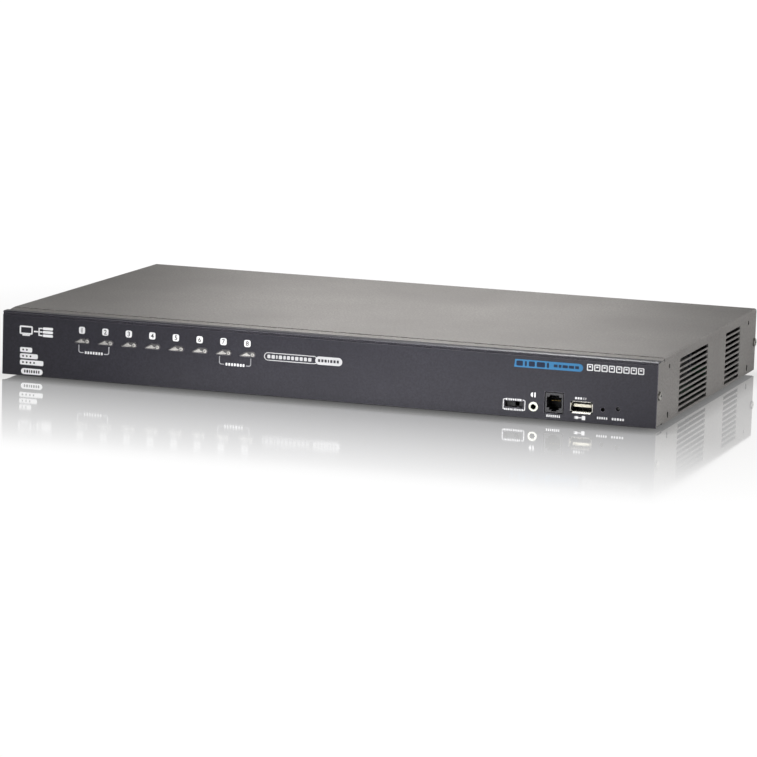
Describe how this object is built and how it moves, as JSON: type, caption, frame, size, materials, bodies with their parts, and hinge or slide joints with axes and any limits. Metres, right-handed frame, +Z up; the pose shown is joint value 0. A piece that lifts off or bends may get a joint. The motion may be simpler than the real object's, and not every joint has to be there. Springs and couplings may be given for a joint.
{
  "type": "kvm switch",
  "caption": "Rack-width KVM switch: steel case with side vents, dark bezel with port buttons, front service ports and rear video and USB sockets.",
  "frame": {"origin": "bottom centre of the whole object's box, on the plane the feet stand on", "axes": "+X to the right seen from the front, +Y to the rear, +Z up; the front faces -Y"},
  "size_m": [0.4398, 0.269, 0.044],
  "materials": {
    "painted_steel": "fine textured powder coat",
    "bezel_plastic": "dark charcoal, fine mould texture",
    "screw_steel": "zinc plated",
    "nickel_steel": "nickel plated",
    "black_plastic": "moulded black",
    "ivory_plastic": "moulded ivory",
    "button_plastic": "smoky translucent grey",
    "lens_plastic": "clear light pipe",
    "circuit_board": "green solder mask",
    "contact_gold": "gold flash",
    "lamp_resin": "milky lamp resin",
    "foot_rubber": "black rubber",
    "sink_aluminium": "plain aluminium",
    "chip_resin": "chip moulding compound",
    "ribbon_vinyl": "grey vinyl",
    "wire_vinyl": "vinyl insulation",
    "insulating_film": "polyester film",
    "ferrite": "sintered ferrite",
    "winding_tape": "polyester tape",
    "capacitor_sleeve": "shrink sleeve"
  },
  "bodies": {
    "chassis": {"base_tray": "painted_steel", "top_cover": "painted_steel", "front_plate": "painted_steel", "rear_panel": "painted_steel", "front_bezel": "bezel_plastic", "side_screws": "screw_steel", "rack_nuts": "screw_steel", "rubber_feet": "foot_rubber", "front_board": "circuit_board", "port_switches": "black_plastic", "indicator_leds": "lamp_resin", "slide_switch_body": "black_plastic", "front_audio_jack": "black_plastic", "front_audio_bushing": "ivory_plastic", "upgrade_port": "black_plastic", "upgrade_contacts": "contact_gold", "front_usb_shell": "nickel_steel", "front_usb_tongue": "ivory_plastic", "reset_switch": "black_plastic", "power_lens": "lens_plastic", "main_board": "circuit_board", "power_board": "circuit_board", "board_posts": "screw_steel", "board_screws": "screw_steel", "hdmi_shells": "nickel_steel", "hdmi_tongues": "black_plastic", "usb_b_shells": "nickel_steel", "usb_b_inserts": "ivory_plastic", "console_usb_shells": "nickel_steel", "console_usb_tongues": "ivory_plastic", "console_usb_carrier": "black_plastic", "rear_audio_jack": "black_plastic", "rear_audio_bushing": "ivory_plastic", "switch_chips": "chip_resin", "main_chip": "chip_resin", "chip_heat_sink": "sink_aluminium", "board_headers": "black_plastic", "front_cable": "ribbon_vinyl", "mains_inlet": "black_plastic", "inlet_pins": "nickel_steel", "power_switch_frame": "black_plastic", "insulation_sheet": "insulating_film", "transformer_core": "ferrite", "transformer_winding": "winding_tape", "power_capacitors": "capacitor_sleeve", "power_heat_sinks": "sink_aluminium", "mains_wires": "wire_vinyl", "output_wires": "wire_vinyl", "ground_screw": "screw_steel"},
    "port_button_1": {"port_button_1": "button_plastic"},
    "port_button_2": {"port_button_2": "button_plastic"},
    "port_button_3": {"port_button_3": "button_plastic"},
    "port_button_4": {"port_button_4": "button_plastic"},
    "port_button_5": {"port_button_5": "button_plastic"},
    "port_button_6": {"port_button_6": "button_plastic"},
    "port_button_7": {"port_button_7": "button_plastic"},
    "port_button_8": {"port_button_8": "button_plastic"},
    "upgrade_switch": {"slide_knob": "black_plastic"},
    "reset_plunger": {"reset_button": "black_plastic"},
    "rocker": {"power_rocker": "black_plastic"}
  },
  "joints": [
    {"name": "press_port_1", "type": "slide", "parent": "chassis", "child": "port_button_1", "axis": [0, 1, 0], "range_m": [0, 0.0005]},
    {"name": "press_port_2", "type": "slide", "parent": "chassis", "child": "port_button_2", "axis": [0, 1, 0], "range_m": [0, 0.0005]},
    {"name": "press_port_3", "type": "slide", "parent": "chassis", "child": "port_button_3", "axis": [0, 1, 0], "range_m": [0, 0.0005]},
    {"name": "press_port_4", "type": "slide", "parent": "chassis", "child": "port_button_4", "axis": [0, 1, 0], "range_m": [0, 0.0005]},
    {"name": "press_port_5", "type": "slide", "parent": "chassis", "child": "port_button_5", "axis": [0, 1, 0], "range_m": [0, 0.0005]},
    {"name": "press_port_6", "type": "slide", "parent": "chassis", "child": "port_button_6", "axis": [0, 1, 0], "range_m": [0, 0.0005]},
    {"name": "press_port_7", "type": "slide", "parent": "chassis", "child": "port_button_7", "axis": [0, 1, 0], "range_m": [0, 0.0005]},
    {"name": "press_port_8", "type": "slide", "parent": "chassis", "child": "port_button_8", "axis": [0, 1, 0], "range_m": [0, 0.0005]},
    {"name": "slide_upgrade_switch", "type": "slide", "parent": "chassis", "child": "upgrade_switch", "axis": [1, 0, 0], "range_m": [0, 0.002]},
    {"name": "press_reset", "type": "slide", "parent": "chassis", "child": "reset_plunger", "axis": [0, 1, 0], "range_m": [0, 0.0004]},
    {"name": "rock_power_switch", "type": "hinge", "parent": "chassis", "child": "rocker", "pos_m": [0.152, 0.13014, 0.022], "axis": [1, 0, 0], "range_deg": [0, 16]}
  ]
}
